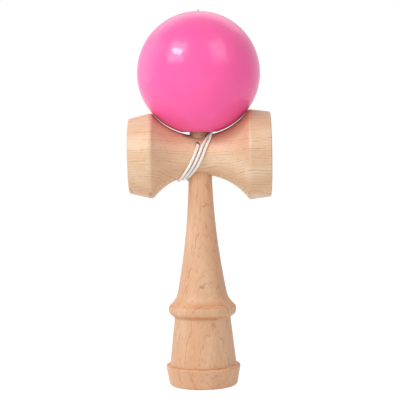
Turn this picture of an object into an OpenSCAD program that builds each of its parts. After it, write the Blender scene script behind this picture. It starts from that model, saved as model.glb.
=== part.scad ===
// Cup and ball toy of the kendama kind: a turned beech handle with a spike and a cup in its foot,
// a cross-piece with two cups wedged on the handle's taper, a lacquered wooden ball resting on the spike,
// and one cotton string from the cross-piece, wound round the joint, to a bead inside the ball.
// Millimetres, +Z up. The handle stands on its foot at the origin, and the cross-piece lies along X.

/* [Ball] */
// Diameter of the ball
ball_d = 60; // [54:1:66]
// Diameter of the spike hole at its mouth
ball_hole_d = 16.6; // [16:0.2:20]
// Diameter of the spike hole at its inner end
ball_hole_end_d = 11; // [9:0.5:14]
// Room in the spike hole between the spike's tip and the knot above it
tip_room = 1.7; // [1:0.1:3]
// Diameter of the string hole at the top of the ball
string_hole_d = 2.8; // [2.2:0.2:4]
// Diameter of the sink round the string hole
string_sink_d = 6; // [5:0.5:8]
// Gap between the ball at rest and the middle of the waist under it
ball_gap = 0.45; // [0.4:0.05:0.6]

/* [Cross-piece] */
// Height of the cross-piece's axis above the foot
cross_z = 113; // [109:1:117]
// Length of the cross-piece from rim to rim
cross_len = 69.2; // [66:0.2:76]
// Diameter of the waist at its narrowest
waist_d = 19.2; // [18:0.2:21]
// How much the waist's curve is smaller in radius than the ball
waist_snug = 0.45; // [0:0.05:0.5]
// Outer diameter of the big cup at its rim
big_rim_d = 41.4; // [39:0.2:43]
// Outer diameter of the big cup where it meets the waist
big_edge_d = 44.2; // [43:0.2:46]
// Outer diameter of the small cup at its rim
small_rim_d = 36.4; // [34:0.2:38]
// Outer diameter of the small cup where it meets the waist
small_edge_d = 41.6; // [40:0.2:43]
// Width of the band outside each cup
band_w = 10.6; // [9:0.2:11]
// Width of the flat lip of each cup
lip_w = 1.4; // [1:0.1:2]
// Radius of the hollow in both cups
cup_curve_r = 26; // [24:0.5:32]
// Radius of the turned edge on each rim
rim_round_r = 0.8; // [0.4:0.1:1.2]
// Radial clearance between the cross-piece and the handle's taper
taper_fit = 0.05; // [0.02:0.01:0.1]

/* [Handle] */
// Diameter of the foot where it meets the table, before its edge is rounded
foot_d = 33.1; // [32:0.1:35]
// Diameter of the base ring at its widest
base_ring_d = 36.8; // [36:0.1:39]
// Height of the base ring's top edge
base_ring_z = 10.1; // [8.5:0.1:11]
// Width of the ledge on the base ring, round the lower barrel
ledge_w = 2.05; // [1.8:0.05:2.6]
// Rise of that ledge towards the barrel
ledge_rise = 0.3; // [0.2:0.1:0.6]
// Length of the lower barrel, up to its neck
barrel_len = 23.2; // [20:0.1:26]
// Diameter of the neck under the bead ring
neck_d = 27.4; // [26:0.1:29]
// Diameter of the bead ring
bead_ring_d = 33.1; // [32:0.1:35]
// Height of the slope from the neck out to the bead ring
bead_slope_h = 2; // [1.8:0.1:3]
// Height of the bead ring itself
bead_ring_h = 3.3; // [2.8:0.1:4]
// Height of the slope from the bead ring in to the grip
bead_rise = 4; // [3.4:0.1:5]
// Diameter at the bottom of the grip
grip_low_d = 25.2; // [23:0.1:27]
// Length of the grip from its bottom to its bend
grip_len = 31.1; // [28:0.1:34]
// Diameter at the bend of the grip
grip_bend_d = 13.6; // [13:0.1:15]
// Diameter of the spike where it leaves the cross-piece
spike_d = 9.8; // [9:0.1:10.4]
// Length of the spike's straight taper above the cross-piece
spike_taper_len = 20; // [16:0.5:22]
// Length of the spike's pointed end
spike_end_len = 13; // [9:0.5:13.5]
// Diameter of the spike's tip
spike_tip_d = 3.8; // [3:0.1:5]
// Diameter of the cup in the foot
foot_cup_d = 28.8; // [26:0.2:29.5]
// Radius of the hollow in the foot
foot_curve_r = 20; // [18:0.5:26]

/* [String] */
// Diameter of the string
cord_d = 1.2; // [1:0.1:1.4]
// Gap between the string and what it lies on
cord_seat = 0.15; // [0.1:0.05:0.3]
// Diameter of the string's hole in the cross-piece
cross_hole_d = 2.1; // [2:0.1:2.6]
// Sideways place of that hole
cross_hole_x = -1; // [-1.5:0.1:1.5]
// Height of that hole above the cross-piece's axis
cross_hole_rise = 5.4; // [5:0.1:6.2]
// Diameter of the knots
knot_d = 3.4; // [3.2:0.1:3.6]
// Diameter of the bead inside the ball
bead_d = 6.4; // [5.6:0.2:7]

/* [Hidden] */
$fn = 96;
fine_fn = 720;
// How far a cut runs past the surface that it opens
run_out = 3;

beech = [0.86, 0.68, 0.51];
pale_beech = [0.9, 0.74, 0.58];
pink_lacquer = [0.97, 0.36, 0.64];
cotton = [0.95, 0.93, 0.89];

// Radii of the turned edges and coves on the handle
foot_round_r = 1.8;
base_ring_round_r = 0.9;
neck_cove_r = 1.6;
bead_low_round_r = 2.5;
bead_high_round_r = 1.2;
bead_cove_r = 10;
grip_cove_r = 340;
spike_round_r = 20;
tip_round_r = 0.8;

// Heights of the handle's corners, from the foot upwards
barrel_z = base_ring_z + ledge_rise;
neck_z = barrel_z + barrel_len;
bead_low_z = neck_z + bead_slope_h;
bead_high_z = bead_low_z + bead_ring_h;
grip_low_z = bead_high_z + bead_rise;
grip_bend_z = grip_low_z + grip_len;

// Heights that the seats give
ball_r = ball_d / 2;
waist_r = waist_d / 2;
waist_curve_r = ball_r - waist_snug;
spike_z = cross_z + waist_r;
spike_end_z = spike_z + spike_taper_len;
tip_z = spike_end_z + spike_end_len;
ball_z = spike_z + ball_gap + ball_r;
ball_mouth_z = ball_z - sqrt(pow(ball_r, 2) - pow(ball_hole_d / 2, 2));
ball_top_z = ball_z + ball_r;

// The upper handle's taper carries the cross-piece and runs on into the spike
taper_slope = (grip_bend_d - spike_d) / 2 / (spike_z - grip_bend_z);
function taper_r(z) = spike_d / 2 + (spike_z - z) * taper_slope;

// Inside the ball, from the spike's tip upwards: the string's knot, the bead on it, the hole's inner end
cord_r = cord_d / 2;
cord_fit = 0.15;
bead_gap = 0.3;
knot_len = 2.2;
bead_knot_z = tip_z + tip_room + knot_len;
bead_z = bead_knot_z + sqrt(pow(bead_d / 2, 2) - pow(cord_r + cord_fit, 2));
ball_hole_end_z = bead_z + bead_d / 2 + bead_gap;

// Behind the cross-piece's string hole, the knot that anchors the string sits in a pocket in the handle
knot_room = 0.2;
knot_sink = 0.7;
pocket_d = knot_d + 2 * knot_room;
cross_hole_z = cross_z + cross_hole_rise;
cord_exit_z = cross_hole_z - (cross_hole_d - cord_d) / 2 + cord_fit;
pocket_mouth_y = -taper_r(cord_exit_z);
anchor_y = pocket_mouth_y + knot_sink;
pocket_end_y = anchor_y + knot_len + cord_d;

// Two neighbours and a radius give the arc that rounds a corner or hollows a cove between them
function unit(v) = v / norm(v);
function half_angle(a, p, b) = acos(unit(a - p) * unit(b - p)) / 2;
function arc_centre(a, p, b, r) = p + unit(unit(a - p) + unit(b - p)) * r / sin(half_angle(a, p, b));
function arc_start(a, p, b, r) = p + unit(a - p) * r / tan(half_angle(a, p, b));
function arc_ends(a, p, b, r) = [arc_start(a, p, b, r), arc_start(b, p, a, r)];

// What turning takes off a sharp corner to round it
module rounding(a, p, b, r, facets = $fn) {
    centre = arc_centre(a, p, b, r);
    ends = arc_ends(a, p, b, r);
    difference() {
        polygon([ends[0], p + unit(p - centre), ends[1]]);
        translate(centre) circle(r = r, $fn = facets);
    }
}

// What turning takes off the straight cut across an inner corner to hollow it into a cove
module cove(a, p, b, r, facets = $fn) {
    centre = arc_centre(a, p, b, r);
    ends = arc_ends(a, p, b, r);
    middle = (ends[0] + ends[1]) / 2;
    intersection() {
        polygon([ends[0], p + unit(p - centre), ends[1], middle + unit(centre - middle)]);
        translate(centre) circle(r = r, $fn = facets);
    }
}

// Outline of the handle, from the foot's centre up to the spike's tip
foot = [foot_d / 2, 0];
base_ring = [base_ring_d / 2, base_ring_z];
barrel = [base_ring_d / 2 - ledge_w, barrel_z];
neck = [neck_d / 2, neck_z];
bead_low = [bead_ring_d / 2, bead_low_z];
bead_high = [bead_ring_d / 2, bead_high_z];
grip_low = [grip_low_d / 2, grip_low_z];
grip_bend = [grip_bend_d / 2, grip_bend_z];
spike_end = [taper_r(spike_end_z), spike_end_z];
tip = [spike_tip_d / 2, tip_z];

module handle_outline() {
    difference() {
        polygon(concat([[0, 0], foot, base_ring, barrel],
                       arc_ends(barrel, neck, bead_low, neck_cove_r),
                       [bead_low, bead_high],
                       arc_ends(bead_high, grip_low, grip_bend, bead_cove_r),
                       arc_ends(grip_low, grip_bend, spike_end, grip_cove_r),
                       [spike_end, tip, [0, tip_z]]));
        cove(barrel, neck, bead_low, neck_cove_r);
        cove(bead_high, grip_low, grip_bend, bead_cove_r);
        cove(grip_low, grip_bend, spike_end, grip_cove_r, fine_fn);
        rounding([0, 0], foot, base_ring, foot_round_r);
        rounding(foot, base_ring, barrel, base_ring_round_r);
        rounding(neck, bead_low, bead_high, bead_low_round_r);
        rounding(bead_low, bead_high, grip_low, bead_high_round_r);
        rounding(grip_bend, spike_end, tip, spike_round_r, fine_fn);
        rounding(spike_end, tip, [0, tip_z], tip_round_r);
    }
}

// A cup's hollow, opening towards +Z at the origin
module cup_hollow(cup_d, curve_r) {
    translate([0, 0, sqrt(pow(curve_r, 2) - pow(cup_d / 2, 2))]) sphere(r = curve_r, $fn = fine_fn / 3);
}

module handle() {
    color(beech) difference() {
        rotate_extrude() handle_outline();
        rotate([180, 0, 0]) cup_hollow(foot_cup_d, foot_curve_r);
        // Pocket that holds the string's knot behind the cross-piece
        translate([cross_hole_x, pocket_mouth_y - run_out, cord_exit_z])
            rotate([-90, 0, 0]) cylinder(d = pocket_d, h = pocket_end_y - pocket_mouth_y + run_out);
    }
}

// Outline of the cross-piece, turned about its own length, small cup first
cross_half = cross_len / 2;
small_rim = [small_rim_d / 2, -cross_half];
small_edge = [small_edge_d / 2, band_w - cross_half];
big_edge = [big_edge_d / 2, cross_half - band_w];
big_rim = [big_rim_d / 2, cross_half];

module cross_outline() {
    difference() {
        polygon([[0, -cross_half], small_rim, small_edge, big_edge, big_rim, [0, cross_half]]);
        translate([waist_r + waist_curve_r, 0]) circle(r = waist_curve_r, $fn = fine_fn);
        rounding([0, -cross_half], small_rim, small_edge, rim_round_r);
        rounding(big_edge, big_rim, [0, cross_half], rim_round_r);
    }
}

module cross_cups() {
    bore_reach = waist_r + run_out;
    color(pale_beech) translate([0, 0, cross_z]) difference() {
        rotate([0, 90, 0]) difference() {
            rotate_extrude() cross_outline();
            translate([0, 0, cross_half]) cup_hollow(big_rim_d - 2 * lip_w, cup_curve_r);
            translate([0, 0, -cross_half])
                rotate([180, 0, 0]) cup_hollow(small_rim_d - 2 * lip_w, cup_curve_r);
        }
        // Tapered bore for the handle
        translate([0, 0, -bore_reach])
            cylinder(r1 = taper_r(cross_z - bore_reach) + taper_fit,
                     r2 = taper_r(cross_z + bore_reach) + taper_fit, h = 2 * bore_reach);
        // String hole in the front of the waist
        translate([cross_hole_x, -2 * waist_r, cross_hole_rise])
            rotate([-90, 0, 0]) cylinder(d = cross_hole_d, h = 2 * waist_r);
    }
}

module ball() {
    sink_depth = (string_sink_d - string_hole_d) / 2;
    color(pink_lacquer) difference() {
        translate([0, 0, ball_z]) sphere(d = ball_d, $fn = fine_fn / 3);
        ball_hole();
        translate([0, 0, ball_hole_end_z - run_out]) cylinder(d = string_hole_d, h = ball_d);
        translate([0, 0, ball_top_z - sink_depth])
            cylinder(d1 = string_hole_d, d2 = string_hole_d + 4 * sink_depth, h = 2 * sink_depth);
    }
}

// The spike hole runs on below its mouth at the same taper, so that it cuts clean through the surface
module ball_hole() {
    depth = ball_hole_end_z - ball_mouth_z;
    flare = (ball_hole_d - ball_hole_end_d) / depth * run_out;
    translate([0, 0, ball_mouth_z - run_out])
        cylinder(d1 = ball_hole_d + flare, d2 = ball_hole_end_d, h = depth + run_out);
}

module swivel_bead() {
    color(beech) translate([0, 0, bead_z]) difference() {
        sphere(d = bead_d);
        translate([0, 0, -bead_d]) cylinder(d = cord_d + 2 * cord_fit, h = 2 * bead_d);
    }
}

// A knot's two turns round its own core, pulled tight into each other, lying along +Z from the origin
module knot() {
    turn_d = 0.6 * knot_len;
    core_r = (knot_d - turn_d) / 2;
    rotate_extrude() intersection() {
        square([knot_d, knot_len]);
        union() {
            square([core_r, knot_len]);
            for (turn_z = [1, 3] * knot_len / 4)
                translate([core_r, turn_z]) circle(d = turn_d);
        }
    }
}

module bead_knot() {
    color(cotton) translate([0, 0, bead_knot_z]) mirror([0, 0, 1]) knot();
}

module anchor_knot() {
    color(cotton) translate([cross_hole_x, anchor_y, cord_exit_z]) rotate([-90, 0, 0]) knot();
}

// Tube through a list of points: rings square to the path, carried along it without twist
function path_dir(p, i) = unit(p[min(i + 1, len(p) - 1)] - p[max(i - 1, 0)]);
function turned(v, d) = unit(v - d * (v * d));
function first_side(d) = turned(abs(d[0]) < 0.9 ? [1, 0, 0] : [0, 1, 0], d);
function sides(p, i = 0, done = []) =
    i == len(p) ? done
    : sides(p, i + 1, concat(done, [i == 0 ? first_side(path_dir(p, 0))
                                           : turned(done[i - 1], path_dir(p, i))]));
function ring(c, d, s, r, n) =
    [for (k = [0:n - 1]) let (a = 360 * k / n) c + r * (cos(a) * s + sin(a) * cross(d, s))];

module tube(p, r, n) {
    s = sides(p);
    last = len(p) - 1;
    points = [for (i = [0:last]) each ring(p[i], path_dir(p, i), s[i], r, n)];
    walls = [for (i = [0:last - 1], k = [0:n - 1]) let (a = i * n, b = a + n, m = (k + 1) % n)
             each [[a + k, b + k, b + m], [a + k, b + m, a + m]]];
    caps = [for (k = [1:n - 2]) each [[0, k, k + 1], [last * n, last * n + k + 1, last * n + k]]];
    polyhedron(points = points, faces = concat(walls, caps));
}

// The winding: from its hole the string leans across the waist from beside the spike to beside the shaft,
// round behind and up again. Turn 0 is the top of the waist, 90 its front and 180 the underside; the
// loops lie side by side from left to right.
winding_start = 66;
winding_end = 905;
rings_per_loop = 24;
winding_sides = 6;
// The lean takes the string just past the spike above the waist, and past the shaft under it
spike_room = 0.8;
shaft_room = 0.05;
spike_lean = spike_d / 2 + cord_r + cord_seat + spike_room;
shaft_lean = taper_r(cross_z - waist_r) + cord_r + cord_seat + shaft_room;
// Sideways shift of the first loop at each turn, in string widths
loop_keys = [[0, -0.25], [30, -2.5], [60, -3.2], [90, -2.1], [120, -1.55], [150, -2.4], [180, -3.7],
             [210, -3.4], [240, -2.05], [270, -1.7], [300, -1.85], [330, -1.65], [360, -0.25]];
// Each later loop lies this many string widths further right, and draws in beside the spike
loop_step = 1.7;
draw_in = 45;
// There the last loop rises over the one before it, clear of it by this much
rise_turn = 720;
rise_reach = 66;
rise_room = 0.55;
// Lift of the string at its hole, and the turn by which it lies on the waist
exit_lift = 0.3;
exit_end = 102;
ease = 10;
function loop_shift(turn) =
    let (loop = floor(turn / 360), angle = turn - 360 * loop, from_top = min(angle, 360 - angle))
    lookup(angle, loop_keys) + loop * loop_step * min(1, from_top / draw_in);
function eased_shift(turn) =
    (loop_shift(turn - ease) + 2 * loop_shift(turn) + loop_shift(turn + ease)) / 4;
function lift(turn) =
    (cord_d + rise_room) * (1 + cos(180 * min(1, abs(turn - rise_turn) / rise_reach))) / 2
    + exit_lift * max(0, (exit_end - turn) / (exit_end - winding_start));
function waist_at(x) = waist_r + waist_curve_r - sqrt(pow(waist_curve_r, 2) - pow(x, 2));
function winding_point(turn) =
    let (lean = cos(turn) > 0 ? spike_lean : shaft_lean,
         x = lean * cos(turn) + cord_d * eased_shift(turn),
         out = waist_at(x) + cord_r + cord_seat + lift(turn))
    [x, -out * sin(turn), cross_z + out * cos(turn)];

winding_loops = [for (turn = [winding_start:360 / rings_per_loop:winding_end]) winding_point(turn)];
anchor_run = 2.3;
anchor_runs = [0, cord_d, cord_d + anchor_run];
winding_path = concat([for (out = anchor_runs) [cross_hole_x, anchor_y - out, cord_exit_z]],
                      winding_loops, [winding_point(winding_end)]);

// Least gap between one loop of the winding and another, measured ring to ring
last_ring = len(winding_path) - 1;
loop_gap = min([for (i = [0:last_ring], j = [i + rings_per_loop / 2:1:last_ring])
                norm(winding_path[i] - winding_path[j])]) - cord_d;
echo(winding_least_gap_mm = loop_gap);

module string_winding() {
    color(cotton) tube(winding_path, cord_r, winding_sides);
}

// Over the ball's crown: up the string hole, round its edge and down the back to the ball's widest height
crown_gap = 0.4;
crown_bend_r = 3.2;
crown_r = ball_r + crown_gap + cord_r;
crown_bend_z = ball_z + sqrt(pow(crown_r - crown_bend_r, 2) - pow(crown_bend_r, 2));
crown_lean = atan2(crown_bend_z - ball_z, crown_bend_r);
rise_rings = 4;
bend_rings = 6;
back_rings = 12;
crown_path = concat(
    [for (k = [0:rise_rings - 1]) [0, 0, bead_knot_z + (crown_bend_z - bead_knot_z) * k / rise_rings]],
    [for (k = [0:bend_rings]) let (a = 180 + (crown_lean - 180) * k / bend_rings)
     [0, crown_bend_r * (1 + cos(a)), crown_bend_z + crown_bend_r * sin(a)]],
    [for (k = [1:back_rings]) let (a = crown_lean * (1 - k / back_rings))
     [0, crown_r * cos(a), ball_z + crown_r * sin(a)]]);
free_sides = 8;

module string_crown() {
    color(cotton) tube(crown_path, cord_r, free_sides);
}

// The slack behind the handle, hanging in one bight from the end of the winding to the ball's back.
// Its points give the height from the cross-piece's axis.
hang_points = [[-5.8, 4.2, -12.4], [-4.8, 6.4, -14], [-3.8, 8.6, -17.6], [-2.8, 10.4, -23.4],
               [-2, 11.8, -30.5], [-1.6, 13, -35.5], [-1.3, 15, -40.5], [-1, 18, -44.4],
               [-0.7, 21.6, -46], [-0.4, 25.2, -44.6], [-0.2, 28.2, -40.8], [0, 30, -36],
               [0, 30.8, -31], [0, 31, -26]];
winding_tail = winding_path[last_ring];
// Room between the two lengths that meet at the ball's back
hang_join = 0.1;
hang_top = crown_path[len(crown_path) - 1] - [0, 0, hang_join];
hang_bight = [for (p = hang_points) p + [0, 0, cross_z]];
hang_low = hang_bight[len(hang_bight) - 1];
back_rises = 15;
hang_path = concat([winding_tail, winding_tail + path_dir(winding_path, last_ring) * cord_d], hang_bight,
                   [for (k = [1:back_rises]) hang_low + (hang_top - hang_low) * k / back_rises]);

module string_hang() {
    color(cotton) tube(hang_path, cord_r, free_sides);
}

function path_len(p, i = 1) = i == len(p) ? 0 : norm(p[i] - p[i - 1]) + path_len(p, i + 1);
echo(string_length_mm = path_len(winding_path) + path_len(hang_path) + path_len(crown_path));

handle();
cross_cups();
ball();
swivel_bead();
bead_knot();
anchor_knot();
string_winding();
string_hang();
string_crown();
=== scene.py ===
import math
import bmesh
import bpy
from mathutils import Matrix, Vector


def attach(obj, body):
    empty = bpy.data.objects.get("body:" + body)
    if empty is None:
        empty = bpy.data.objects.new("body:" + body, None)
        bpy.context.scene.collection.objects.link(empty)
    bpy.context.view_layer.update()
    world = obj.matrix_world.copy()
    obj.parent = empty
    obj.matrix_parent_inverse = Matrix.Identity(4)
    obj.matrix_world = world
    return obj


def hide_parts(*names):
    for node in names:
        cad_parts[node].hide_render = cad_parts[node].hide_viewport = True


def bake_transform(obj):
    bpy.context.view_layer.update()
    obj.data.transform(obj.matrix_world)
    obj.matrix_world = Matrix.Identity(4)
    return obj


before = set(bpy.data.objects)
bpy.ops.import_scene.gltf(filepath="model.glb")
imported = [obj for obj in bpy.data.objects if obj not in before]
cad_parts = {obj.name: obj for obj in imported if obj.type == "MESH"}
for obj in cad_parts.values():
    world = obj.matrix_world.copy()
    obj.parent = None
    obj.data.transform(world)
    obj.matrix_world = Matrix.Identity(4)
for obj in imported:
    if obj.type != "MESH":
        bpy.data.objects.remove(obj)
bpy.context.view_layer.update()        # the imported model, in metres, standing on its foot at the origin
mm = 0.001


# Small helpers

def hexColor(code):
    # sRGB hex to the linear colour that the shaders take
    parts = [int(code[i:i + 2], 16) / 255 for i in (1, 3, 5)]
    return [p / 12.92 if p <= 0.04045 else ((p + 0.055) / 1.055) ** 2.4 for p in parts] + [1]


def addNode(tree, kind, inputs=None, **settings):
    # One node with its settings. An input that is a socket, or a node's first output, is linked;
    # anything else is a value. A Mix node's colours are its inputs 6 and 7 and its output 2.
    node = tree.nodes.new(kind)
    for name, value in settings.items():
        setattr(node, name, value)
    for name, value in (inputs or {}).items():
        if isinstance(value, bpy.types.Node):
            value = value.outputs[0]
        if isinstance(value, bpy.types.NodeSocket):
            tree.links.new(value, node.inputs[name])
        else:
            node.inputs[name].default_value = value
    return node


def newObject(name, data):
    piece = bpy.data.objects.new(name, data)
    bpy.context.scene.collection.objects.link(piece)
    return piece


def plainMesh(piece):
    # the modifiers' result as the object's own mesh
    evaluated = piece.evaluated_get(bpy.context.evaluated_depsgraph_get())
    mesh = bpy.data.meshes.new_from_object(evaluated)
    piece.modifiers.clear()
    name = piece.name
    bpy.data.objects.remove(piece)
    solid = newObject(name, mesh)
    mesh.name = name
    return solid


def newTree(name, inputs):
    # an empty Geometry Nodes tree with its named inputs
    tree = bpy.data.node_groups.new(name, "GeometryNodeTree")
    face = tree.interface
    face.new_socket("Geometry", in_out="INPUT", socket_type="NodeSocketGeometry")
    for label, kind in inputs.items():
        face.new_socket(label, in_out="INPUT", socket_type="NodeSocket" + kind)
    face.new_socket("Geometry", in_out="OUTPUT", socket_type="NodeSocketGeometry")
    return tree


def runTree(piece, tree, inputs):
    # the tree's result as a plain mesh; a modifier's input goes by the socket's identifier
    modifier = piece.modifiers.new(tree.name, "NODES")
    modifier.node_group = tree
    for item in tree.interface.items_tree:
        if item.item_type == "SOCKET" and item.in_out == "INPUT" and item.name in inputs:
            modifier[item.identifier] = inputs[item.name]
    return plainMesh(piece)


# Camera

photoView = {
    "framePx": 400,        # the photograph is square
    "pxPerMm": 2.0433,     # at the handle's axis, from the 60 mm ball
    "distance": 640,       # mm from the lens to the handle's axis
    "eyeHeight": 124.8,    # mm above the foot
    "horizonPx": 131,      # image row at eye height
    "axisPx": 200.67,      # image column of the handle's axis at mid frame
    "turn": 0.8,           # degrees that the big cup comes nearer
    "lean": 0.98,          # degrees that the top leans left
    "sensor": 36,          # mm
    "clip": (0.01, 50),    # m
}


def makeCamera(view):
    focalPx = view["pxPerMm"] * view["distance"]
    half = view["framePx"] / 2
    pitch = math.atan((half - view["horizonPx"]) / focalPx)
    data = bpy.data.cameras.new("photoCamera")
    data.sensor_width = view["sensor"]
    data.lens = view["sensor"] * focalPx / view["framePx"]
    data.clip_start, data.clip_end = view["clip"]
    camera = newObject("photoCamera", data)
    aside = (half - view["axisPx"]) / view["pxPerMm"]
    turned = Matrix.Rotation(math.radians(view["turn"]), 4, "Z")
    place = turned @ Matrix.Translation(Vector((aside, -view["distance"], view["eyeHeight"])) * mm)
    tilted = Matrix.Rotation(math.pi / 2 - pitch, 4, "X")
    leaned = Matrix.Rotation(math.radians(-view["lean"]), 4, "Z")
    camera.matrix_world = place @ tilted @ leaned
    bpy.context.scene.camera = camera


makeCamera(photoView)
print("camera set")


# Materials

def newMaterial(name):
    material = bpy.data.materials.new(name)
    material.use_nodes = True
    material.node_tree.nodes.clear()
    return material, material.node_tree


# what both pieces of beech share
beechLook = {
    # noise patterns: mm across and along the grain, detail, roughness
    "patterns": {
        "jag": (2, 5, 1, 0.5),
        "breaks": (3, 6, 1, 0.5),
        "patches": (8, 40, 2, 0.5),
        "fibres": (0.4, 12, 3, 0.6),     # coarse enough to show
    },
    "lineRise": 0.68,          # how far through a ring its line starts to darken
    "lineStart": 0.1,          # how dark it is there
    "linePeak": 0.9,           # where it is darkest
    "weakest": 0.15,           # the faintest ring's line, as a share of the darkest
    "breakEdge": (0.42, 0.6),  # noise over which a line comes back after a break
    "faint": 0.3,              # how much of a line is left where it fades
    "crossLines": 2.0,         # how much more the lines show where the wood is cut across
    "toneSteps": (0.3, 0.5, 0.72),    # noise at rosy, mid and pale wood
    "fibreEdge": (0.3, 0.7),
    "fibreShade": (0.91, 1.05),
    "fleckEdge": (0.08, 0.22),        # from a fleck's middle to its edge, in fleck spacings
    "roughness": (0.42, 0.6),
    "lineDepth": 0.3,          # how far a line lies below the fibres
    "relief": 0.1,             # mm
    "reliefStrength": 0.15,
    "wax": 0.65,               # specular level
}
handleWood = {
    "mid": "#d7a881",
    "pale": "#dfb591",
    "rosy": "#d8a27c",
    "ringLine": "#a96a3e",     # the thin dark side of a growth ring
    "fleck": "#8b5630",        # ray flecks, the short dark dashes of beech
    "endGrain": "#ffe9d6",     # the tint where the wood is cut across
    "cutAcross": (0.45, 0.8),  # how far a face turns to the grain's direction for that
    "ringWidth": 1.15,         # mm between growth rings
    "lines": 0.85,             # how dark the darkest ring lines are
    "wander": 1.0,             # mm that the rings stray
    "wanderPattern": (12, 24, 3, 0.55),    # as the shared patterns
    "jag": 0.9,                # mm that they stray over short lengths
    "pith": (-20, 56),         # mm from the piece's axis to the heart of the tree, across the grain
    "fleckSpacing": (1.6, 6.0),    # mm across and along the grain
    "flecks": 0.35,            # how dark they are
}
crossWood = {
    "mid": "#dfb893",
    "pale": "#e6caac",
    "rosy": "#dcaf8d",
    "ringLine": "#b07c50",
    "fleck": "#8f5f3b",
    "endGrain": "#f6e2cd",
    "cutAcross": (0.8, 0.95),
    "ringWidth": 1.25,
    "lines": 1.0,
    "wander": 2.2,
    "wanderPattern": (12, 40, 3, 0.55),
    "jag": 0.25,
    "pith": (-46, -30),
    "fleckSpacing": (2.2, 9.0),
    "flecks": 0.15,
}


def makeBeech(name, look, turn):
    # Turned, fine-sanded and waxed beech: warm tan, thin ring lines, short dark flecks, a soft sheen.
    # turn brings the grain to the pattern's Z.
    beech = beechLook
    material, tree = newMaterial(name)
    place = addNode(tree, "ShaderNodeTexCoord").outputs
    grain = addNode(tree, "ShaderNodeMapping", {
        "Vector": place["Object"], "Rotation": turn, "Scale": (1 / mm, 1 / mm, 1 / mm)})
    noise = {}
    patterns = beech["patterns"] | {"wander": look["wanderPattern"]}
    for pattern, (wide, long, detail, roughness) in patterns.items():
        spread = addNode(tree, "ShaderNodeMapping", {
            "Vector": grain, "Scale": (1 / wide, 1 / wide, 1 / long)})
        noise[pattern] = addNode(tree, "ShaderNodeTexNoise", {
            "Vector": spread, "Scale": 1.0, "Detail": detail, "Roughness": roughness})
    # growth rings round the pith, straying along the grain
    fromPith = addNode(tree, "ShaderNodeVectorMath", {0: grain, 1: (*look["pith"], 0)}, operation="SUBTRACT")
    flat = addNode(tree, "ShaderNodeVectorMath", {0: fromPith, 1: (1, 1, 0)}, operation="MULTIPLY")
    reach = addNode(tree, "ShaderNodeVectorMath", {0: flat}, operation="LENGTH").outputs["Value"]
    strayed = addNode(tree, "ShaderNodeMath", {0: noise["wander"], 1: 2 * look["wander"], 2: reach},
                      operation="MULTIPLY_ADD")
    jagged = addNode(tree, "ShaderNodeMath", {0: noise["jag"], 1: 2 * look["jag"], 2: strayed},
                     operation="MULTIPLY_ADD")
    count = addNode(tree, "ShaderNodeMath", {0: jagged, 1: look["ringWidth"]}, operation="DIVIDE")
    phase = addNode(tree, "ShaderNodeMath", {0: count}, operation="FRACT")
    number = addNode(tree, "ShaderNodeMath", {0: count}, operation="FLOOR")
    ring = addNode(tree, "ShaderNodeTexWhiteNoise", {"W": number}, noise_dimensions="1D")
    line = addNode(tree, "ShaderNodeValToRGB", {"Fac": phase})
    ramp = line.color_ramp
    ramp.elements[0].color = ramp.elements[1].color = (0, 0, 0, 1)
    ramp.elements.new(beech["lineRise"]).color = (*[beech["lineStart"]] * 3, 1)
    ramp.elements.new(beech["linePeak"]).color = (1, 1, 1, 1)
    shade = addNode(tree, "ShaderNodeMapRange", {
        "Value": ring, "To Min": beech["weakest"] * look["lines"], "To Max": look["lines"]})
    shaded = addNode(tree, "ShaderNodeMath", {0: line, 1: shade}, operation="MULTIPLY")
    # the lines come and go along the grain
    shown = addNode(tree, "ShaderNodeMapRange", {
        "Value": noise["breaks"], "From Min": beech["breakEdge"][0], "From Max": beech["breakEdge"][1],
        "To Min": beech["faint"], "To Max": 1.0})
    broken = addNode(tree, "ShaderNodeMath", {0: shaded, 1: shown}, operation="MULTIPLY")
    # cut across, as in the cups and on the rings' shoulders, the wood drinks the wax and goes darker
    facing = addNode(tree, "ShaderNodeMapping", {"Vector": place["Normal"], "Rotation": turn})
    across = addNode(tree, "ShaderNodeSeparateXYZ", {0: facing}).outputs["Z"]
    eitherWay = addNode(tree, "ShaderNodeMath", {0: across}, operation="ABSOLUTE")
    endGrain = addNode(tree, "ShaderNodeMapRange", {
        "Value": eitherWay, "From Min": look["cutAcross"][0], "From Max": look["cutAcross"][1]})
    deeper = addNode(tree, "ShaderNodeMath", {0: endGrain, 1: beech["crossLines"], 2: 1.0},
                     operation="MULTIPLY_ADD")
    darkness = addNode(tree, "ShaderNodeMath", {0: broken, 1: deeper}, operation="MULTIPLY", use_clamp=True)
    # broad patches of paler and rosier wood
    tones = addNode(tree, "ShaderNodeValToRGB", {"Fac": noise["patches"]})
    ramp = tones.color_ramp
    ramp.elements[0].position, middle, ramp.elements[1].position = beech["toneSteps"]
    ramp.elements[0].color, ramp.elements[1].color = hexColor(look["rosy"]), hexColor(look["pale"])
    ramp.elements.new(middle).color = hexColor(look["mid"])
    ringed = addNode(tree, "ShaderNodeMix", {0: darkness, 6: tones, 7: hexColor(look["ringLine"])},
                     data_type="RGBA").outputs[2]
    soaked = addNode(tree, "ShaderNodeMix", {0: endGrain, 6: ringed, 7: hexColor(look["endGrain"])},
                     data_type="RGBA", blend_type="MULTIPLY").outputs[2]
    # fibres, long and thin
    streak = addNode(tree, "ShaderNodeMapRange", {
        "Value": noise["fibres"], "From Min": beech["fibreEdge"][0], "From Max": beech["fibreEdge"][1],
        "To Min": beech["fibreShade"][0], "To Max": beech["fibreShade"][1]})
    fibred = addNode(tree, "ShaderNodeMix", {0: 1.0, 6: soaked, 7: streak},
                     data_type="RGBA", blend_type="MULTIPLY").outputs[2]
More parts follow.
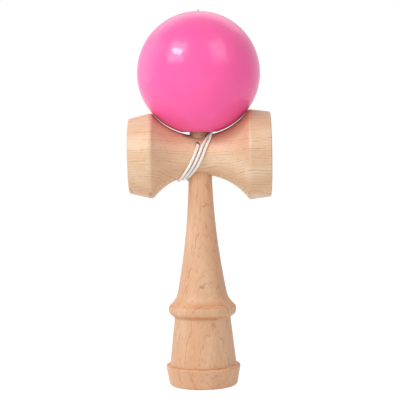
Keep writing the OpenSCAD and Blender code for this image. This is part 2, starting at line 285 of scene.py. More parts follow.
    # flecks
    wide, long = look["fleckSpacing"]
    cells = addNode(tree, "ShaderNodeMapping", {"Vector": grain, "Scale": (1 / wide, 1 / wide, 1 / long)})
    spots = addNode(tree, "ShaderNodeTexVoronoi", {"Vector": cells, "Scale": 1.0}).outputs["Distance"]
    fleck = addNode(tree, "ShaderNodeMapRange", {
        "Value": spots, "From Min": beech["fleckEdge"][0], "From Max": beech["fleckEdge"][1],
        "To Min": look["flecks"], "To Max": 0.0})
    flecked = addNode(tree, "ShaderNodeMix", {0: fleck, 6: fibred, 7: hexColor(look["fleck"])},
                      data_type="RGBA").outputs[2]
    rough = addNode(tree, "ShaderNodeMapRange", {
        "Value": noise["fibres"], "To Min": beech["roughness"][0], "To Max": beech["roughness"][1]})
    # lines and flecks lie a little below the fibres
    sunk = addNode(tree, "ShaderNodeMath", {0: darkness, 1: beech["lineDepth"], 2: fleck},
                   operation="MULTIPLY_ADD")
    height = addNode(tree, "ShaderNodeMath", {0: noise["fibres"], 1: sunk}, operation="SUBTRACT")
    bump = addNode(tree, "ShaderNodeBump", {
        "Height": height, "Strength": beech["reliefStrength"], "Distance": beech["relief"] * mm})
    shader = addNode(tree, "ShaderNodeBsdfPrincipled", {
        "Base Color": flecked, "Roughness": rough, "Normal": bump,
        "IOR": 1.5, "Specular IOR Level": beech["wax"]})
    addNode(tree, "ShaderNodeOutputMaterial", {"Surface": shader})
    return material


lacquerLook = {
    "pink": "#ff61aa",
    "deep": "#fd57a0",
    "toneSize": 18,          # mm from one pink to the other
    "roughness": (0.33, 0.43),
    "specular": 0.2,         # of the colour under the top layer
    "gloss": 0.48,           # strength of the clear top layer
    "glossRoughness": 0.1,
    "peel": 2.4,             # mm between the low waves of sprayed lacquer
    "peelHeight": 0.14,      # mm
}


def makeLacquer(name, look):
    # Sprayed pink lacquer on turned wood: even and glossy, with low waves that break up the highlights
    material, tree = newMaterial(name)
    place = addNode(tree, "ShaderNodeTexCoord").outputs["Object"]
    wave = addNode(tree, "ShaderNodeTexNoise", {
        "Vector": place, "Scale": 1 / (look["peel"] * mm), "Detail": 2.0})
    tone = addNode(tree, "ShaderNodeTexNoise", {
        "Vector": place, "Scale": 1 / (look["toneSize"] * mm), "Detail": 2.0})
    color = addNode(tree, "ShaderNodeMix", {0: tone, 6: hexColor(look["pink"]), 7: hexColor(look["deep"])},
                    data_type="RGBA").outputs[2]
    rough = addNode(tree, "ShaderNodeMapRange", {
        "Value": wave, "To Min": look["roughness"][0], "To Max": look["roughness"][1]})
    bump = addNode(tree, "ShaderNodeBump", {
        "Height": wave, "Strength": 1.0, "Distance": look["peelHeight"] * mm})
    shader = addNode(tree, "ShaderNodeBsdfPrincipled", {
        "Base Color": color, "Roughness": rough, "Normal": bump, "IOR": 1.5,
        "Specular IOR Level": look["specular"], "Coat Weight": look["gloss"],
        "Coat Roughness": look["glossRoughness"], "Coat IOR": 1.5, "Coat Normal": bump})
    addNode(tree, "ShaderNodeOutputMaterial", {"Surface": shader})
    return material


cottonLook = {
    "white": "#fdfaf5",
    "shade": "#efe9df",
    "fibre": 0.12,           # mm across a fibre bundle
    "fluff": 0.05,           # mm that the fibres stand up
    "fluffStrength": 0.3,
    "roughness": (0.8, 0.95),
    "sheen": 0.3,
    "sheenRoughness": 0.5,
}


def makeCotton(name, look):
    # Braided cotton yarn: matt off-white with fine loose fibres
    material, tree = newMaterial(name)
    place = addNode(tree, "ShaderNodeTexCoord").outputs["Object"]
    fluff = addNode(tree, "ShaderNodeTexNoise", {
        "Vector": place, "Scale": 1 / (look["fibre"] * mm), "Detail": 3.0})
    color = addNode(tree, "ShaderNodeMix", {0: fluff, 6: hexColor(look["white"]), 7: hexColor(look["shade"])},
                    data_type="RGBA").outputs[2]
    bump = addNode(tree, "ShaderNodeBump", {
        "Height": fluff, "Strength": look["fluffStrength"], "Distance": look["fluff"] * mm})
    rough = addNode(tree, "ShaderNodeMapRange", {
        "Value": fluff, "To Min": look["roughness"][0], "To Max": look["roughness"][1]})
    shader = addNode(tree, "ShaderNodeBsdfPrincipled", {
        "Base Color": color, "Roughness": rough, "Normal": bump,
        "Sheen Weight": look["sheen"], "Sheen Roughness": look["sheenRoughness"]})
    addNode(tree, "ShaderNodeOutputMaterial", {"Surface": shader})
    return material


handleBeech = makeBeech("turned beech", handleWood, (0, 0, 0))
crossBeech = makeBeech("turned beech, grain across", crossWood, (0, math.radians(-90), 0))
lacquer = makeLacquer("pink lacquer", lacquerLook)
cotton = makeCotton("braided cotton", cottonLook)
print("materials made")


# String

stringSizes = {
    "diameter": 1.2,       # mm, pulled tight
    "full": 1.48,          # mm across the loose braid, where it lies
    "yarns": 8,            # half of them wind each way
    "pitch": 5.0,          # mm along the string for one turn of a yarn
    "yarn": 0.43,          # mm across one yarn
    "weave": 0.08,         # mm that a yarn swings in and out as it passes over and under
    "step": 0.2,           # mm between rings
    "yarnSides": 6,
    "coreSides": 10,
}
waist = {"height": 113, "radius": 9.6, "curve": 29.55}    # of the cross-piece's axis and its waist, mm
ballSizes = {"diameter": 60, "height": 153.05}            # height of its middle, mm
stringGap = 0.15                                          # mm between the string and the waist


def smoothPath(points, step):
    # a smooth curve through the points, as points a step apart
    points = [Vector(p) for p in points]
    ends = [points[0] * 2 - points[1]] + points + [points[-1] * 2 - points[-2]]
    path = []
    for a, b, c, d in zip(ends, ends[1:], ends[2:], ends[3:]):
        count = max(1, round((c - b).length / step))
        for i in range(count):
            t = i / count
            path.append(0.5 * (2 * b + (c - a) * t + (2 * a - 5 * b + 4 * c - d) * t * t
                               + (3 * b - a - 3 * c + d) * t ** 3))
    return path + [points[-1]]


def keyed(turn, keys):
    # straight line between the keys either side
    for (t0, v0), (t1, v1) in zip(keys, keys[1:]):
        if turn <= t1:
            return v0 + (v1 - v0) * (turn - t0) / (t1 - t0)


# turn 0 is the top of the waist, 90 its front and 180 the underside
winding = {
    "start": 66, "end": 905, "step": 15,
    "leans": (5.7, 5.7),             # mm, room for the spike above the waist and for the shaft under it
    # sideways shift of the first loop at each turn, in string widths
    "shifts": [(0, -0.25), (30, -2.5), (60, -3.2), (90, -2.1), (120, -1.55), (150, -2.4), (180, -3.7),
               (210, -3.4), (240, -2.05), (270, -1.7), (300, -1.85), (330, -1.65), (360, -0.25)],
    "loopStep": 1.7, "drawIn": 45,   # string widths to the next loop, less near the top
    "rise": 1.75, "riseTurn": 720, "riseReach": 66,    # mm, the last loop over the one before it
    "exitLift": 0.3, "exitEnd": 102,                   # mm at the string's hole
    "ease": 10,                      # degrees that a shift is smoothed over
}
anchor = {"x": -1, "y": -4.376, "z": 118.1, "run": 2.3}    # where the string leaves its knot in the handle


def loopShift(turn):
    loop, angle = divmod(turn, 360)
    near = min(1, min(angle, 360 - angle) / winding["drawIn"])
    return keyed(angle, winding["shifts"]) + loop * winding["loopStep"] * near


def windingPoint(turn):
    width = stringSizes["diameter"]
    c, s = math.cos(math.radians(turn)), math.sin(math.radians(turn))
    lean = winding["leans"][0 if c > 0 else 1] + width / 2 + stringGap
    ease = winding["ease"]
    shift = (loopShift(turn - ease) + 2 * loopShift(turn) + loopShift(turn + ease)) / 4
    x = lean * c + width * shift
    over = min(1, abs(turn - winding["riseTurn"]) / winding["riseReach"])
    lift = winding["rise"] * (1 + math.cos(math.pi * over)) / 2
    left = (winding["exitEnd"] - turn) / (winding["exitEnd"] - winding["start"])
    lift += winding["exitLift"] * max(0, left)
    out = waist["radius"] + waist["curve"] - math.sqrt(waist["curve"] ** 2 - x * x)
    out += width / 2 + stringGap + lift
    return Vector((x, -out * s, waist["height"] + out * c))


def windingPath():
    loops = [windingPoint(t) for t in range(winding["start"], winding["end"], winding["step"])]
    width = stringSizes["diameter"]
    outs = (0, width, width + anchor["run"])
    start = [Vector((anchor["x"], anchor["y"] - out, anchor["z"])) for out in outs]
    return start + loops + [windingPoint(winding["end"])]


# from the knot under the bead over the ball's top and down its back, mm and counts of points
crown = {"gap": 0.4, "bend": 3.2, "start": 159.5, "risePoints": 4, "bendPoints": 6, "backPoints": 12}


def crownPath():
    radius = ballSizes["diameter"] / 2 + crown["gap"] + stringSizes["diameter"] / 2
    bend, start, middle = crown["bend"], crown["start"], ballSizes["height"]
    bendZ = middle + math.sqrt((radius - bend) ** 2 - bend ** 2)
    lean = math.atan2(bendZ - middle, bend)
    count = crown["risePoints"]
    path = [Vector((0, 0, start + (bendZ - start) * k / count)) for k in range(count)]
    for k in range(crown["bendPoints"] + 1):
        a = math.pi + (lean - math.pi) * k / crown["bendPoints"]
        path.append(Vector((0, bend * (1 + math.cos(a)), bendZ + bend * math.sin(a))))
    for k in range(1, crown["backPoints"] + 1):
        a = lean * (1 - k / crown["backPoints"])
        path.append(Vector((0, radius * math.cos(a), middle + radius * math.sin(a))))
    return path


hang = {
    # the slack behind, heights from the cross-piece's axis
    "bight": [(-5.8, 4.2, -12.4), (-4.8, 6.4, -14), (-3.8, 8.6, -17.6), (-2.8, 10.4, -23.4),
              (-2, 11.8, -30.5), (-1.6, 13, -35.5), (-1.3, 15, -40.5), (-1, 18, -44.4), (-0.7, 21.6, -46),
              (-0.4, 25.2, -44.6), (-0.2, 28.2, -40.8), (0, 30, -36), (0, 30.8, -31), (0, 31, -26)],
    "risePoints": 15,
    "still": 6,            # mm behind the axis, up to where the slack stays with the handle
    "lifted": 30.5,        # mm behind it, from where it goes up with the ball
}


def hangPath(start, ahead, top):
    bight = [Vector(p) + Vector((0, 0, waist["height"])) for p in hang["bight"]]
    count = hang["risePoints"]
    rise = [bight[-1].lerp(top, k / count) for k in range(1, count + 1)]
    return [start, start + ahead * stringSizes["diameter"]] + bight + rise


def braidTree(sizes):
    # yarns wound both ways round a path, each passing over and under the others, round a plain core
    tree = newTree("braidedString", {"Diameter": "Float", "Yarns": "Int", "Pitch": "Float", "Yarn": "Float",
                                     "Weave": "Float", "Material": "Material"})
    enter = addNode(tree, "NodeGroupInput").outputs
    half = addNode(tree, "ShaderNodeMath", {0: enter["Diameter"], 1: 0.5}, operation="MULTIPLY")
    yarnRadius = addNode(tree, "ShaderNodeMath", {0: enter["Yarn"], 1: 0.5}, operation="MULTIPLY")
    inside = addNode(tree, "ShaderNodeMath", {0: half, 1: yarnRadius}, operation="SUBTRACT")
    ring = addNode(tree, "ShaderNodeMath", {0: inside, 1: enter["Weave"]}, operation="SUBTRACT")
    copies = addNode(tree, "GeometryNodeDuplicateElements",
                     {"Geometry": enter["Geometry"], "Amount": enter["Yarns"]}, domain="SPLINE").outputs
    number = copies["Duplicate Index"]
    # every second yarn goes the other way, and each pair starts further round
    odd = addNode(tree, "ShaderNodeMath", {0: number, 1: 2.0}, operation="MODULO")
    way = addNode(tree, "ShaderNodeMath", {0: odd, 1: 2.0, 2: -1.0}, operation="MULTIPLY_ADD")
    halfNumber = addNode(tree, "ShaderNodeMath", {0: number, 1: 2.0}, operation="DIVIDE")
    pair = addNode(tree, "ShaderNodeMath", {0: halfNumber}, operation="FLOOR")
    pairs = addNode(tree, "ShaderNodeMath", {0: enter["Yarns"], 1: 0.5}, operation="MULTIPLY")
    begin = addNode(tree, "ShaderNodeMath", {0: pair, 1: pairs}, operation="DIVIDE")
    along = addNode(tree, "GeometryNodeSplineParameter").outputs["Length"]
    turns = addNode(tree, "ShaderNodeMath", {0: along, 1: enter["Pitch"]}, operation="DIVIDE")
    turned = addNode(tree, "ShaderNodeMath", {0: turns, 1: way, 2: begin}, operation="MULTIPLY_ADD")
    angle = addNode(tree, "ShaderNodeMath", {0: turned, 1: math.tau}, operation="MULTIPLY")
    # in and out once for every two yarns that it meets
    meetings = addNode(tree, "ShaderNodeMath", {0: turns, 1: enter["Yarns"]}, operation="MULTIPLY")
    beat = addNode(tree, "ShaderNodeMath", {0: meetings, 1: math.pi}, operation="MULTIPLY")
    weaving = addNode(tree, "ShaderNodeMath", {0: beat}, operation="COSINE")
    swing = addNode(tree, "ShaderNodeMath", {0: weaving, 1: way}, operation="MULTIPLY")
    out = addNode(tree, "ShaderNodeMath", {0: swing, 1: enter["Weave"], 2: ring}, operation="MULTIPLY_ADD")
    normal = addNode(tree, "GeometryNodeInputNormal")
    tangent = addNode(tree, "GeometryNodeInputTangent")
    side = addNode(tree, "ShaderNodeVectorMath", {0: tangent, 1: normal}, operation="CROSS_PRODUCT")
    arms = []
    for axis, wave in ((normal, "COSINE"), (side, "SINE")):
        share = addNode(tree, "ShaderNodeMath", {0: angle}, operation=wave)
        reach = addNode(tree, "ShaderNodeMath", {0: out, 1: share}, operation="MULTIPLY")
        arms.append(addNode(tree, "ShaderNodeVectorMath", {0: axis, "Scale": reach}, operation="SCALE"))
    offset = addNode(tree, "ShaderNodeVectorMath", {0: arms[0], 1: arms[1]}, operation="ADD")
    wound = addNode(tree, "GeometryNodeSetPosition", {"Geometry": copies["Geometry"], "Offset": offset})
    tubes = []
    for curve, sides, radius in ((enter["Geometry"], sizes["coreSides"], ring),
                                 (wound, sizes["yarnSides"], yarnRadius)):
        circle = addNode(tree, "GeometryNodeCurvePrimitiveCircle", {"Resolution": sides, "Radius": radius})
        tubes.append(addNode(tree, "GeometryNodeCurveToMesh", {
            "Curve": curve, "Profile Curve": circle, "Fill Caps": True}))
    both = addNode(tree, "GeometryNodeJoinGeometry", {"Geometry": tubes[0]})
    tree.links.new(tubes[1].outputs[0], both.inputs["Geometry"])
    smooth = addNode(tree, "GeometryNodeSetShadeSmooth", {"Geometry": both})
    whole = addNode(tree, "GeometryNodeRealizeInstances", {"Geometry": smooth})
    painted = addNode(tree, "GeometryNodeSetMaterial", {"Geometry": whole, "Material": enter["Material"]})
    addNode(tree, "NodeGroupOutput", {"Geometry": painted})
    return tree


braid = braidTree(stringSizes)


def braidAlong(name, path, sizes, closed=False):
    # a braided string along the points, as one mesh
    curve = bpy.data.curves.new(name, "CURVE")
    curve.dimensions = "3D"
    spline = curve.splines.new("POLY")
    spline.points.add(len(path) - 1)
    spline.use_cyclic_u = closed
    for point, place in zip(spline.points, path):
        point.co = (*(place * mm), 1)
    return runTree(newObject(name, curve), braid, {
        "Diameter": sizes["full"] * mm, "Yarns": sizes["yarns"], "Pitch": sizes["pitch"] * mm,
        "Yarn": sizes["yarn"] * mm, "Weave": sizes["weave"] * mm, "Material": cotton})


def pathLength(path):
    return sum((b - a).length for a, b in zip(path, path[1:]))


step = stringSizes["step"]
woundPoints = windingPath()
crownPoints = crownPath()
ahead = (woundPoints[-1] - woundPoints[-2]).normalized()
paths = {
    "stringWinding": smoothPath(woundPoints, step),
    "stringHang": smoothPath(hangPath(woundPoints[-1], ahead, crownPoints[-1]), step),
    "stringCrown": smoothPath(crownPoints, step),
}
strings = {name: braidAlong(name, path, stringSizes) for name, path in paths.items()}


# Knots at the string's two ends

knotSizes = {"full": 1.05, "yarns": 8, "pitch": 3.2, "yarn": 0.34, "weave": 0.05,    # as the string's
             "width": 3.4, "length": 2.2, "points": 240}


def knotPath(sizes):
    # an overhand knot pulled tight round the Z axis
    room = (sizes["width"] - sizes["full"]) / 6
    rise = (sizes["length"] - sizes["full"]) / 2
    path = []
    for i in range(sizes["points"]):
        t = math.tau * i / sizes["points"]
        out = room * (2 + math.cos(3 * t))
        path.append(Vector((out * math.cos(2 * t), out * math.sin(2 * t), rise * math.sin(3 * t))))
    return path


def makeKnot(name, node, body, place, turn):
    path = [turn @ p + Vector(place) for p in knotPath(knotSizes)]
    knot = braidAlong(name, path, knotSizes, closed=True)
    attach(knot, body)
    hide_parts(node)
    return knot


halfKnot = knotSizes["length"] / 2
beadKnot = makeKnot("beadKnot", "bead_knot", "bead", (0, 0, crown["start"] - halfKnot), Matrix.Identity(3))
anchorKnot = makeKnot("anchorKnot", "anchor_knot", "handle",
                      (anchor["x"], anchor["y"] + halfKnot, anchor["z"]),
                      Matrix.Rotation(math.pi / 2, 3, "X"))
print("knots tied")


# String on its bodies

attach(strings["stringWinding"], "handle")
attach(strings["stringCrown"], "bead")
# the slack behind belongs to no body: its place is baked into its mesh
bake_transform(strings["stringHang"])
for name, node, lay, knots in (("stringWinding", "string_winding", "taut", [anchorKnot]),
                               ("stringHang", "string_hang", "hanging", []),
                               ("stringCrown", "string_crown", "taut", [beadKnot])):
    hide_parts(node)
print("string braided,", round(sum(pathLength(p) for p in paths.values())), "mm long")


# Turned pieces

def roundFrom(middle, start, end, steps):
    # points on an arc about the middle, from one arm to the other
    sweep = start.angle_signed(end)
    return [middle + Matrix.Rotation(-sweep * i / steps, 2) @ start for i in range(steps + 1)]


def arcCorner(a, p, b, radius, steps=8):
    # the corner at p between a and b, rounded
    a, p, b = Vector(a), Vector(p), Vector(b)
    u, v = (a - p).normalized(), (b - p).normalized()
    half = math.acos(max(-1, min(1, u.dot(v)))) / 2
    middle = p + (u + v).normalized() * radius / math.sin(half)
    run = radius / math.tan(half)
    return roundFrom(middle, p + u * run - middle, p + v * run - middle, steps)


def sphereArc(center, radius, start, end, steps):
    # points on an arc from one angle to another, degrees from the outward direction
    angles = [math.radians(start + (end - start) * i / steps) for i in range(steps + 1)]
    return [Vector((center[0] + radius * math.cos(a), center[1] + radius * math.sin(a))) for a in angles]


latheClose = 0.002         # mm, points nearer than this become one


def latheTree():
    # the profile's points, turned round the Z axis
    tree = newTree("turnOnLathe", {"Steps": "Int", "Material": "Material"})
    enter = addNode(tree, "NodeGroupInput").outputs
    size = addNode(tree, "GeometryNodeAttributeDomainSize", {"Geometry": enter["Geometry"]})
    count = size.outputs["Point Count"]
    rows = addNode(tree, "ShaderNodeMath", {0: enter["Steps"], 1: 1.0}, operation="ADD")
    grid = addNode(tree, "GeometryNodeMeshGrid", {"Vertices X": rows, "Vertices Y": count})
    # each row of the grid is the profile, turned a step further
    index = addNode(tree, "GeometryNodeInputIndex")
    place = addNode(tree, "ShaderNodeMath", {0: index, 1: count}, operation="MODULO")
    midway = addNode(tree, "ShaderNodeMath", {0: index, 1: 0.5}, operation="ADD")
    row = addNode(tree, "ShaderNodeMath", {0: midway, 1: count}, operation="DIVIDE")
    ring = addNode(tree, "ShaderNodeMath", {0: row}, operation="FLOOR")
    share = addNode(tree, "ShaderNodeMath", {0: ring, 1: enter["Steps"]}, operation="DIVIDE")
    angle = addNode(tree, "ShaderNodeMath", {0: share, 1: math.tau}, operation="MULTIPLY")
    here = addNode(tree, "GeometryNodeInputPosition")
    found = addNode(tree, "GeometryNodeSampleIndex", {
        "Geometry": enter["Geometry"], "Value": here, "Index": place},
        data_type="FLOAT_VECTOR", domain="POINT")
    turned = addNode(tree, "ShaderNodeVectorRotate", {"Vector": found, "Angle": angle},
                     rotation_type="Z_AXIS")
    shaped = addNode(tree, "GeometryNodeSetPosition", {"Geometry": grid, "Position": turned})
    closed = addNode(tree, "GeometryNodeMergeByDistance", {"Geometry": shaped, "Distance": latheClose * mm})
    whole = addNode(tree, "GeometryNodeRealizeInstances", {"Geometry": closed})
    painted = addNode(tree, "GeometryNodeSetMaterial", {"Geometry": whole, "Material": enter["Material"]})
    addNode(tree, "NodeGroupOutput", {"Geometry": painted})
    return tree


lathe = latheTree()


def turnPiece(name, profile, material, steps, lift=0.0, lay=None):
    # a profile of (radius, height) in mm, turned in that many steps; lay is the turn to its place
    mesh = bpy.data.meshes.new(name)
    mesh.from_pydata([(p[0] * mm, 0, p[1] * mm) for p in profile],
                     [(i, i + 1) for i in range(len(profile) - 1)], [])
    piece = runTree(newObject(name, mesh), lathe, {"Steps": steps, "Material": material})
    piece.data.transform(Matrix.Translation((0, 0, lift * mm)) @ (lay or Matrix.Identity(4)))
    shell = bmesh.new()
    shell.from_mesh(piece.data)
    bmesh.ops.recalc_face_normals(shell, faces=shell.faces)
    shell.to_mesh(piece.data)
    shell.free()
    return piece


def frontDrill(name, width, reach, place, material, steps):
    # a drill that comes in from the front and ends at that place
    radius = width / 2
    drill = turnPiece(name, [(0, 0), (radius, 0), (radius, reach), (0, reach)], material, steps)
    drill.data.transform(Matrix.Translation(Vector(place) * mm) @ Matrix.Rotation(math.pi / 2, 4, "X"))
    return drill


def cutAway(piece, cutters):
    for cutter in cutters:
        modifier = piece.modifiers.new("cut", "BOOLEAN")
        modifier.operation = "DIFFERENCE"
        modifier.solver = "EXACT"
        modifier.object = cutter
    piece = plainMesh(piece)
    for cutter in cutters:
        bpy.data.objects.remove(cutter)
    return piece


def softShade(piece, angle=34):
    # smooth, with edges sharper than the angle kept
    piece.data.shade_smooth()
    piece.data.set_sharp_from_angle(angle=math.radians(angle))


# Handle

handleSizes = {
    # corner: diameter, height, and radius of its turned edge or cove, all in mm
    "corners": {
        "foot": (33.1, 0, 1.8),
        "baseRing": (36.8, 10.1, 0.9),
        "barrel": (32.7, 10.4, 0.15),
        "neck": (27.4, 33.6, 1.6),
        "beadLow": (33.1, 35.6, 2.5),
        "beadHigh": (33.1, 38.9, 1.2),
        "gripLow": (25.2, 42.9, 10),
        "gripBend": (13.6, 74, 340),
        "spikeEnd": (8.236, 142.6, 20),
        "tip": (3.8, 155.6, 0.8),
    },
    "footCup": (28.8, 20),              # diameter of the hollow in the foot, and its curve
    "cupPoints": 20,
    "cornerPoints": 8, "bendPoints": 48,
    "taper": (5.854, 98.2, 0.0390947),  # radius, height and slope of the straight taper
    "steps": 192,
}
pocket = {"width": 3.8, "end": -0.976, "reach": 8, "steps": 32}    # for the string's knot


def handleProfile(sizes):
    cupRadius, curve = sizes["footCup"][0] / 2, sizes["footCup"][1]
    rise = math.sqrt(curve ** 2 - cupRadius ** 2)
    edge = math.degrees(math.acos(cupRadius / curve))
    points = sphereArc((0, -rise), curve, 90, edge, sizes["cupPoints"])
    turned = sizes["corners"]
    corners = [(0, 0)] + [(width / 2, height) for width, height, _ in turned.values()]
    corners.append((0, turned["tip"][1]))
    for i, (name, corner) in enumerate(turned.items()):
        count = sizes["bendPoints"] if name == "gripBend" else sizes["cornerPoints"]
        points += arcCorner(*corners[i:i + 3], corner[2], count)
    return points + [Vector(corners[-1])]


def makeHandle(sizes):
    piece = turnPiece("turnedHandle", handleProfile(sizes), handleBeech, sizes["steps"])
    drill = frontDrill("pocketDrill", pocket["width"], pocket["reach"],
                       (anchor["x"], pocket["end"], anchor["z"]), handleBeech, pocket["steps"])
    piece = cutAway(piece, [drill])
    softShade(piece)
    return piece


handle = makeHandle(handleSizes)
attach(handle, "handle")
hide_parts("handle")
print("handle turned")


# Cross-piece with its two cups

crossSizes = {
    "length": 69.2,
    "bigRim": 41.4, "bigEdge": 44.2,
    "smallRim": 36.4, "smallEdge": 41.6,
    "band": 10.6,          # width of the band outside each cup
    "lip": 1.4,            # width of each cup's flat lip
    "cupCurve": 26, "cupPoints": 24,
    "rimRound": 0.8,
    "edgeRound": 1.8, "edgePoints": 10,       # the turned edge between band and waist
    "waistCurve": 29.35, "waistPoints": 48,   # the ball all but rests on the waist's two ends
    "stringHole": 2.1, "holeRise": 5.4, "holeSteps": 40,
    "taperFit": 0.05, "boreSpare": 3, "boreSteps": 96,
    "steps": 224,
}


def cupArc(cupWidth, sizes, rim, way):
    # from the hollow's bottom out to its edge, for a rim at that height; way is +1 for the upper cup
    radius, curve = cupWidth / 2, sizes["cupCurve"]
    center = (0, rim + way * math.sqrt(curve ** 2 - radius ** 2))
    edge = math.degrees(math.acos(radius / curve))
    return sphereArc(center, curve, -90 * way, -edge * way, sizes["cupPoints"])


def bandEdge(rim, edge, sizes, center):
    # the turned edge from a band into the waist's curve, as points from band to waist
    radius, curve = sizes["edgeRound"], sizes["waistCurve"]
    along = (edge - rim).normalized()
    outward = Vector((abs(along[1]), -along[0] * math.copysign(1, along[1])))
    # where the band, moved in, meets the waist's curve, moved out
    inner = rim - outward * radius - center
    reach = curve + radius
    middle = inner.dot(along)
    run = -middle - math.sqrt(middle ** 2 - inner.dot(inner) + reach ** 2)
    pivot = center + inner + along * run
    return roundFrom(pivot, outward * radius, (center - pivot).normalized() * radius, sizes["edgePoints"])


def crossProfile(sizes):
    half, curve = sizes["length"] / 2, sizes["waistCurve"]
    center = Vector((waist["radius"] + curve, 0))
    smallRim = Vector((sizes["smallRim"] / 2, -half))
    smallEdge = Vector((sizes["smallEdge"] / 2, sizes["band"] - half))
    bigRim = Vector((sizes["bigRim"] / 2, half))
    bigEdge = Vector((sizes["bigEdge"] / 2, half - sizes["band"]))
    low = bandEdge(smallRim, smallEdge, sizes, center)
    high = bandEdge(bigRim, bigEdge, sizes, center)
    start, end = (math.degrees(math.atan2(p[1], p[0] - center[0])) % 360 for p in (low[-1], high[-1]))
    lipSmall = sizes["smallRim"] - 2 * sizes["lip"]
    lipBig = sizes["bigRim"] - 2 * sizes["lip"]
    points = cupArc(lipSmall, sizes, -half, -1)
    points += arcCorner(points[-1], smallRim, smallEdge, sizes["rimRound"]) + low
    points += sphereArc(center, curve, start, end, sizes["waistPoints"])[1:-1] + list(reversed(high))
    points += arcCorner(bigEdge, bigRim, Vector((lipBig / 2, half)), sizes["rimRound"])
    return points + list(reversed(cupArc(lipBig, sizes, half, 1)))


def makeCross(sizes):
    lay = Matrix.Rotation(math.pi / 2, 4, "Y")
    piece = turnPiece("crossCups", crossProfile(sizes), crossBeech, sizes["steps"], waist["height"], lay)
    radius, height, slope = handleSizes["taper"]
    reach = waist["radius"] + sizes["boreSpare"]
    lowEnd, highEnd = (radius - slope * (waist["height"] + way * reach - height) + sizes["taperFit"]
                       for way in (-1, 1))
    bore = turnPiece("taperBore", [(0, -reach), (lowEnd, -reach), (highEnd, reach), (0, reach)],
                     crossBeech, sizes["boreSteps"], waist["height"])
    drill = frontDrill("stringDrill", sizes["stringHole"], 2 * waist["radius"],
                       (anchor["x"], 0, waist["height"] + sizes["holeRise"]), crossBeech, sizes["holeSteps"])
    piece = cutAway(piece, [bore, drill])
    softShade(piece)
    return piece


crossCups = makeCross(crossSizes)
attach(crossCups, "handle")
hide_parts("cross_cups")
print("cross-piece turned")


# Ball

holeSizes = {
    "mouth": 16.6, "end": 11, "endHeight": 166.111,    # the spike's hole
    "string": 2.8, "sink": 6,
    "edge": 0.35, "edgePoints": 5, "edgeRoom": 1.2,    # mm round, and degrees of the shell left for it
    "shellPoints": 150, "steps": 256,
    "bare": 1.2,           # mm under the shell, from where the wood has no lacquer
    "sharp": 40,           # degrees, an edge from here on stays sharp
}


def ballProfile(ball, hole):
    radius, middle, room = ball["diameter"] / 2, ball["height"], hole["edgeRoom"]
    mouthAngle = math.degrees(math.asin(hole["mouth"] / 2 / radius))
    mouth = Vector((hole["mouth"] / 2, middle - radius * math.cos(math.radians(mouthAngle))))
    sinkAngle = math.degrees(math.asin(hole["sink"] / 2 / radius))
    sinkTop = Vector((hole["sink"] / 2, middle + radius * math.cos(math.radians(sinkAngle))))
    throat = Vector((hole["string"] / 2, sinkTop[1] - (hole["sink"] - hole["string"]) / 2))
    inner = Vector((hole["end"] / 2, hole["endHeight"]))
    shell = sphereArc((0, middle), radius, mouthAngle - 90 + room, 90 - sinkAngle - room,
                      hole["shellPoints"])
    points = [throat, Vector((hole["string"] / 2, hole["endHeight"])), inner]
    points += arcCorner(inner, mouth, shell[0], hole["edge"], hole["edgePoints"]) + shell
    points += arcCorner(shell[-1], sinkTop, throat, hole["edge"], hole["edgePoints"])
    return points + [throat]


def makeBall(ball, hole):
    piece = turnPiece("lacqueredBall", ballProfile(ball, hole), lacquer, hole["steps"])
    piece.data.materials.append(handleBeech)    # bare wood inside the holes
    middle = Vector((0, 0, ball["height"])) * mm
    bare = (ball["diameter"] / 2 - hole["bare"]) * mm
    for face in piece.data.polygons:
        if (face.center - middle).length < bare:
            face.material_index = 1
    softShade(piece, hole["sharp"])
    return piece


ball = makeBall(ballSizes, holeSizes)
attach(ball, "ball")
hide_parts("ball")
print("ball turned")


# Bead that holds the string inside the ball

beadSizes = {"diameter": 6.4, "hole": 1.5, "points": 48, "steps": 64}


def makeBead(sizes):
    radius, hole = sizes["diameter"] / 2, sizes["hole"] / 2
    edge = math.degrees(math.acos(hole / radius))
    middle = crown["start"] + math.sqrt(radius ** 2 - hole ** 2)
    profile = sphereArc((0, middle), radius, -edge, edge, sizes["points"])
    piece = turnPiece("swivelBead", profile + [profile[0]], handleBeech, sizes["steps"])
    softShade(piece)
    return piece


bead = makeBead(beadSizes)
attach(bead, "bead")
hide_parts("swivel_bead")
print("bead turned")


# Floor, backdrop and light

white = (1, 1, 1, 1)
stageLook = {
    "floor": "#f4f4f4",
    "size": 6.0,             # m
    "drop": 0.05,            # mm under the foot
    "bounce": 0.18,          # a lit table's own light on the toy
    "glow": 0.93,            # how white the camera sees the floor, before the lamps
    "shadow": 0.22,          # how much the camera sees of lamps and shadow on it
    "sky": 0.32,             # the room's light on the toy
}
keyWay, fillWay = (-0.575, -0.575, 0.583), (0.55, -0.58, 0.6)
lamps = {
    # way from the ball, distance, width and height in m, power in W
    # "gloss" shows in reflections only, and "matt" in none
    "key": {"way": keyWay, "distance": 1.2, "size": (0.34, 0.18), "power": 4.6},
    "keyBox": {"way": keyWay, "distance": 1.21, "size": (0.58, 0.7), "power": 2.0},
    "keyCard": {"way": keyWay, "distance": 1.22, "size": (0.66, 0.8), "power": 5.4, "only": "gloss"},
    "side": {"way": (-0.93, 0.3, 0.22), "distance": 1.2, "size": (1.0, 1.3), "power": 3.7},
    "top": {"way": (0.0, 0.7, 0.72), "distance": 1.2, "size": (1.6, 0.6), "power": 2.4},
    "fill": {"way": fillWay, "distance": 1.2, "size": (0.5, 0.62), "power": 1.4},
    "fillCard": {"way": fillWay, "distance": 1.22, "size": (0.66, 0.9), "power": 3.6, "only": "gloss"},
    "front": {"way": (-0.15, -0.9, 0.4), "distance": 1.2, "size": (0.9, 0.4), "power": 2.6, "only": "matt"},
}


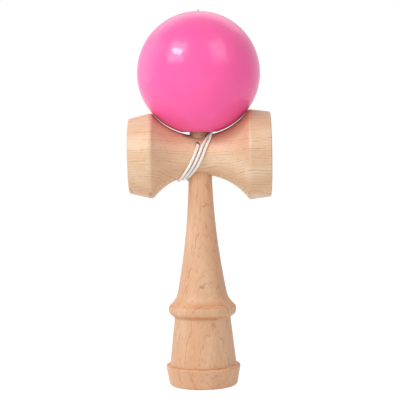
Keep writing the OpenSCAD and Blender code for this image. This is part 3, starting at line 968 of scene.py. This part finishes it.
def seenDirectly(tree):
    # 1 where the camera sees it, straight on, in a reflection or through glass
    ray = addNode(tree, "ShaderNodeLightPath").outputs
    seen = addNode(tree, "ShaderNodeMath", {0: ray["Is Camera Ray"], 1: ray["Is Glossy Ray"]},
                   operation="MAXIMUM")
    return addNode(tree, "ShaderNodeMath", {0: seen, 1: ray["Is Transmission Ray"]}, operation="MAXIMUM")


def makeFloor(look):
    # matt white paper under soft light: no grain to see at this size, only the toy's faint shadow
    mesh = bpy.data.meshes.new("studioFloor")
    reach = look["size"] / 2
    corners = [(x * reach, y * reach, -look["drop"] * mm) for x, y in ((-1, -1), (1, -1), (1, 1), (-1, 1))]
    mesh.from_pydata(corners, [], [(0, 1, 2, 3)])
    material, tree = newMaterial("white paper sweep")
    paper = addNode(tree, "ShaderNodeBsdfDiffuse", {"Color": hexColor(look["floor"])})
    lit = addNode(tree, "ShaderNodeEmission", {"Color": white, "Strength": look["bounce"]})
    plain = addNode(tree, "ShaderNodeAddShader", {0: paper, 1: lit})
    soft = addNode(tree, "ShaderNodeBsdfDiffuse", {"Color": (*[look["shadow"]] * 3, 1)})
    glow = addNode(tree, "ShaderNodeEmission", {"Color": white, "Strength": look["glow"]})
    bright = addNode(tree, "ShaderNodeAddShader", {0: soft, 1: glow})
    mixed = addNode(tree, "ShaderNodeMixShader", {0: seenDirectly(tree), 1: plain, 2: bright})
    addNode(tree, "ShaderNodeOutputMaterial", {"Surface": mixed})
    mesh.materials.append(material)
    newObject("studioFloor", mesh)


def makeLight(look):
    target = Vector((0, 0, ballSizes["height"])) * mm
    for name, lamp in lamps.items():
        data = bpy.data.lights.new(name, "AREA")
        data.shape = "RECTANGLE"
        data.size, data.size_y = lamp["size"]
        data.energy = lamp["power"]
        light = newObject(name, data)
        light.visible_diffuse = lamp.get("only") != "gloss"
        light.visible_glossy = lamp.get("only") != "matt"
        light.location = target + Vector(lamp["way"]).normalized() * lamp["distance"]
        light.rotation_euler = (target - light.location).to_track_quat("-Z", "Y").to_euler()
    world = bpy.data.worlds.new("white studio")
    bpy.context.scene.world = world
    world.use_nodes = True
    tree = world.node_tree
    tree.nodes.clear()
    dim = addNode(tree, "ShaderNodeBackground", {"Color": white, "Strength": look["sky"]})
    clear = addNode(tree, "ShaderNodeBackground", {"Color": white, "Strength": 1.0})
    mixed = addNode(tree, "ShaderNodeMixShader", {0: seenDirectly(tree), 1: dim, 2: clear})
    addNode(tree, "ShaderNodeOutputWorld", {"Surface": mixed})


makeFloor(stageLook)
makeLight(stageLook)
bpy.context.scene.view_settings.view_transform = "Standard"
print("stage lit")
